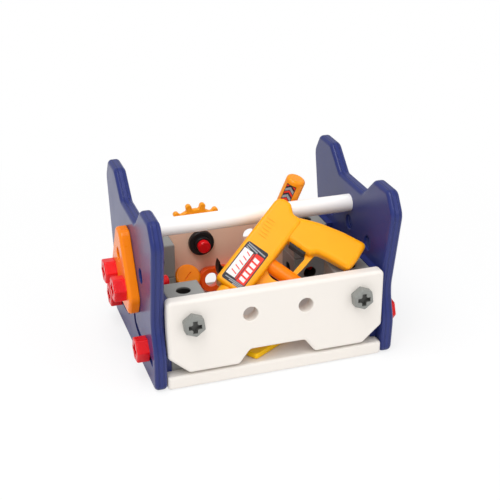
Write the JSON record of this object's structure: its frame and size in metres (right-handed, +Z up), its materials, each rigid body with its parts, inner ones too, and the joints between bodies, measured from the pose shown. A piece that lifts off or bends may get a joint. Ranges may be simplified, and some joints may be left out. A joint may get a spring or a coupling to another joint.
{
  "type": "toy tool box",
  "caption": "Open toy tool box with shaped end panels, a round carry bar, bolted panels and loose toy tools inside: drill, hammer, screw, link strip and set square.",
  "frame": {"origin": "on the table under the middle of the carry bar, midway between the end panels", "axes": "+X to the right end panel along the carry bar, +Y to the rear panel, +Z up"},
  "size_m": [0.2808, 0.2157, 0.175],
  "materials": {
    "white_plastic": "satin warm white moulded plastic",
    "navy_plastic": "satin navy blue moulded plastic",
    "block_grey_plastic": "satin mid grey moulded plastic",
    "bolt_grey_plastic": "satin grey moulded plastic",
    "red_plastic": "glossy red moulded plastic",
    "orange_plastic": "glossy orange moulded plastic",
    "gear_plastic": "glossy light orange moulded plastic",
    "strip_plastic": "glossy deep orange moulded plastic",
    "amber_plastic": "glossy amber moulded plastic",
    "yellow_plastic": "glossy yellow moulded plastic",
    "black_plastic": "satin black moulded plastic",
    "bit_grey_plastic": "satin grey moulded plastic",
    "screw_steel": "plain steel"
  },
  "bodies": {
    "tool_box": {"base_board": "white_plastic", "front_panel": "white_plastic", "rear_panel": "white_plastic", "end_panel_left": "navy_plastic", "end_panel_right": "navy_plastic", "carry_bar": "white_plastic", "corner_block_lower_fl": "block_grey_plastic", "corner_block_lower_fr": "block_grey_plastic", "corner_block_lower_rl": "block_grey_plastic", "corner_block_lower_rr": "block_grey_plastic", "corner_block_upper_fl": "block_grey_plastic", "corner_block_upper_fr": "block_grey_plastic", "corner_block_upper_rl": "block_grey_plastic", "corner_block_upper_rr": "block_grey_plastic", "grey_bolts_front": "bolt_grey_plastic", "grey_bolts_rear": "bolt_grey_plastic", "red_bolts_left": "red_plastic", "red_bolts_right": "red_plastic", "end_plate": "orange_plastic", "plate_bolts": "red_plastic", "plate_nuts": "red_plastic", "gear_bolt": "red_plastic", "gear_nut": "black_plastic"},
    "gear": {"gear": "gear_plastic"},
    "drill": {"drill_housing_front": "amber_plastic", "drill_housing_rear": "amber_plastic", "drill_grip": "orange_plastic", "drill_screws": "screw_steel", "trigger_spring": "screw_steel"},
    "drill_trigger": {"drill_trigger": "black_plastic"},
    "drill_chuck": {"drill_chuck": "amber_plastic", "drill_bit": "bit_grey_plastic"},
    "hammer": {"hammer_handle": "orange_plastic", "hammer_head": "black_plastic"},
    "toy_screw": {"toy_screw": "orange_plastic"},
    "loose_nut": {"loose_nut": "red_plastic"},
    "link_strip": {"link_strip": "strip_plastic"},
    "set_square": {"set_square": "yellow_plastic"}
  },
  "joints": [
    {"name": "gear_spin", "type": "hinge", "parent": "tool_box", "child": "gear", "pos_m": [-0.028, 0.0978, 0.07075], "axis": [0, 1, 0], "continuous": true},
    {"name": "drill_lift", "type": "slide", "parent": "tool_box", "child": "drill", "axis": [0, 0, 1], "range_m": [0, 0.15]},
    {"name": "trigger_pull", "type": "slide", "parent": "drill", "child": "drill_trigger", "axis": [0.7406, 0.3836, 0.5517], "range_m": [0, 0.004], "stiffness_N_per_m": 200, "springref_m": -0.003, "deforming": ["trigger_spring"]},
    {"name": "chuck_spin", "type": "hinge", "parent": "drill", "child": "drill_chuck", "pos_m": [-0.03988, -0.06156, 0.08174], "axis": [-0.7406, -0.3836, -0.5517], "continuous": true},
    {"name": "hammer_lift", "type": "slide", "parent": "tool_box", "child": "hammer", "axis": [0, 0, 1], "range_m": [0, 0.18]},
    {"name": "screw_lift", "type": "slide", "parent": "tool_box", "child": "toy_screw", "axis": [0, 0, 1], "range_m": [0, 0.165]},
    {"name": "nut_spin", "type": "hinge", "parent": "toy_screw", "child": "loose_nut", "pos_m": [-0.05245, 0.0751, 0.0189], "axis": [0, -0.7071, 0.7071], "continuous": true},
    {"name": "strip_lift", "type": "slide", "parent": "tool_box", "child": "link_strip", "axis": [0, 0, 1], "range_m": [0, 0.014]},
    {"name": "square_slide", "type": "slide", "parent": "tool_box", "child": "set_square", "axis": [0, -1, 0], "range_m": [0, 0.015]}
  ]
}
